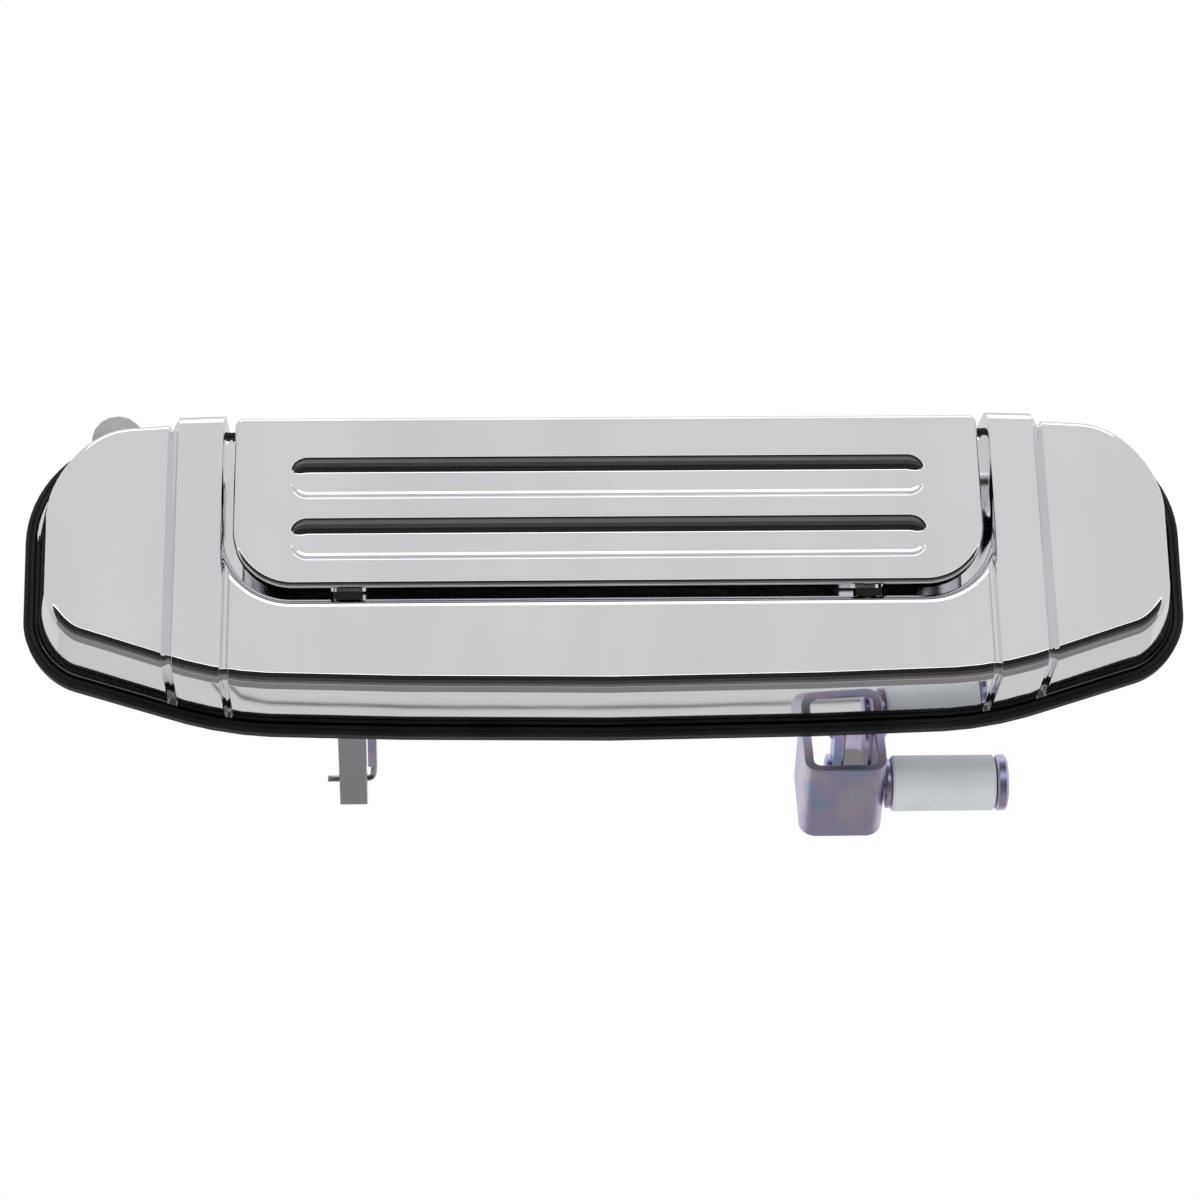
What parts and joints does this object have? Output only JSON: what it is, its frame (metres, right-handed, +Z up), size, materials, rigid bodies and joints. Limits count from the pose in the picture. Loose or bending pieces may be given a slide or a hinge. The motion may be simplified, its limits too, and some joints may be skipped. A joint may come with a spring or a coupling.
{
  "type": "car door outside handle",
  "caption": "Chrome flap-type outside car door handle: cast housing with finger pocket, hinged pull flap, return spring and roller lever.",
  "frame": {"origin": "centre of the round datum pad on the rear face of the casting's pocket floor", "axes": "+X along the handle to the right as seen from outside, +Y into the door, +Z up as the handle lies in use here"},
  "size_m": [0.215, 0.0501, 0.0788],
  "materials": {
    "chrome": "polished chrome plate on a zinc die casting",
    "rubber": "moulded black rubber",
    "zinc_plate": "blue and pink passivated zinc plate on pressed steel",
    "steel": "bright spring steel and drawn pin",
    "nylon": "natural white nylon, slightly translucent",
    "raw_casting": "dull unplated die casting"
  },
  "bodies": {
    "bezel": {"bezel": "chrome", "gasket": "rubber", "flap_bumper_left": "rubber", "flap_bumper_right": "rubber", "hinge_pin": "steel", "pin_clip_left": "steel", "pin_clip_right": "steel", "return_spring": "steel", "mounting_ear": "raw_casting", "hinge_bracket": "zinc_plate", "bracket_screw_left": "zinc_plate", "bracket_screw_right": "zinc_plate", "stud_left": "zinc_plate", "stud_right": "zinc_plate", "ear_screw": "zinc_plate"},
    "flap": {"flap": "chrome", "arm_bush_left": "nylon", "arm_bush_right": "nylon", "arm_plate_left": "zinc_plate", "arm_plate_right": "zinc_plate", "lever_strap": "zinc_plate", "lever_rivet_front": "zinc_plate", "lever_rivet_rear": "zinc_plate", "roller_pin": "zinc_plate", "roller_washer": "zinc_plate"},
    "roller": {"roller": "nylon"}
  },
  "joints": [
    {"name": "flap_hinge", "type": "hinge", "parent": "bezel", "child": "flap", "pos_m": [0, -0.0112, -0.0162], "axis": [1, 0, 0], "range_deg": [0, 22], "stiffness_Nm_per_rad": 0.15, "springref_deg": -57.3, "deforming": ["return_spring"]},
    {"name": "roller_spin", "type": "hinge", "parent": "flap", "child": "roller", "pos_m": [0.063, 0.0122, -0.03587], "axis": [1, 0, 0], "continuous": true}
  ]
}
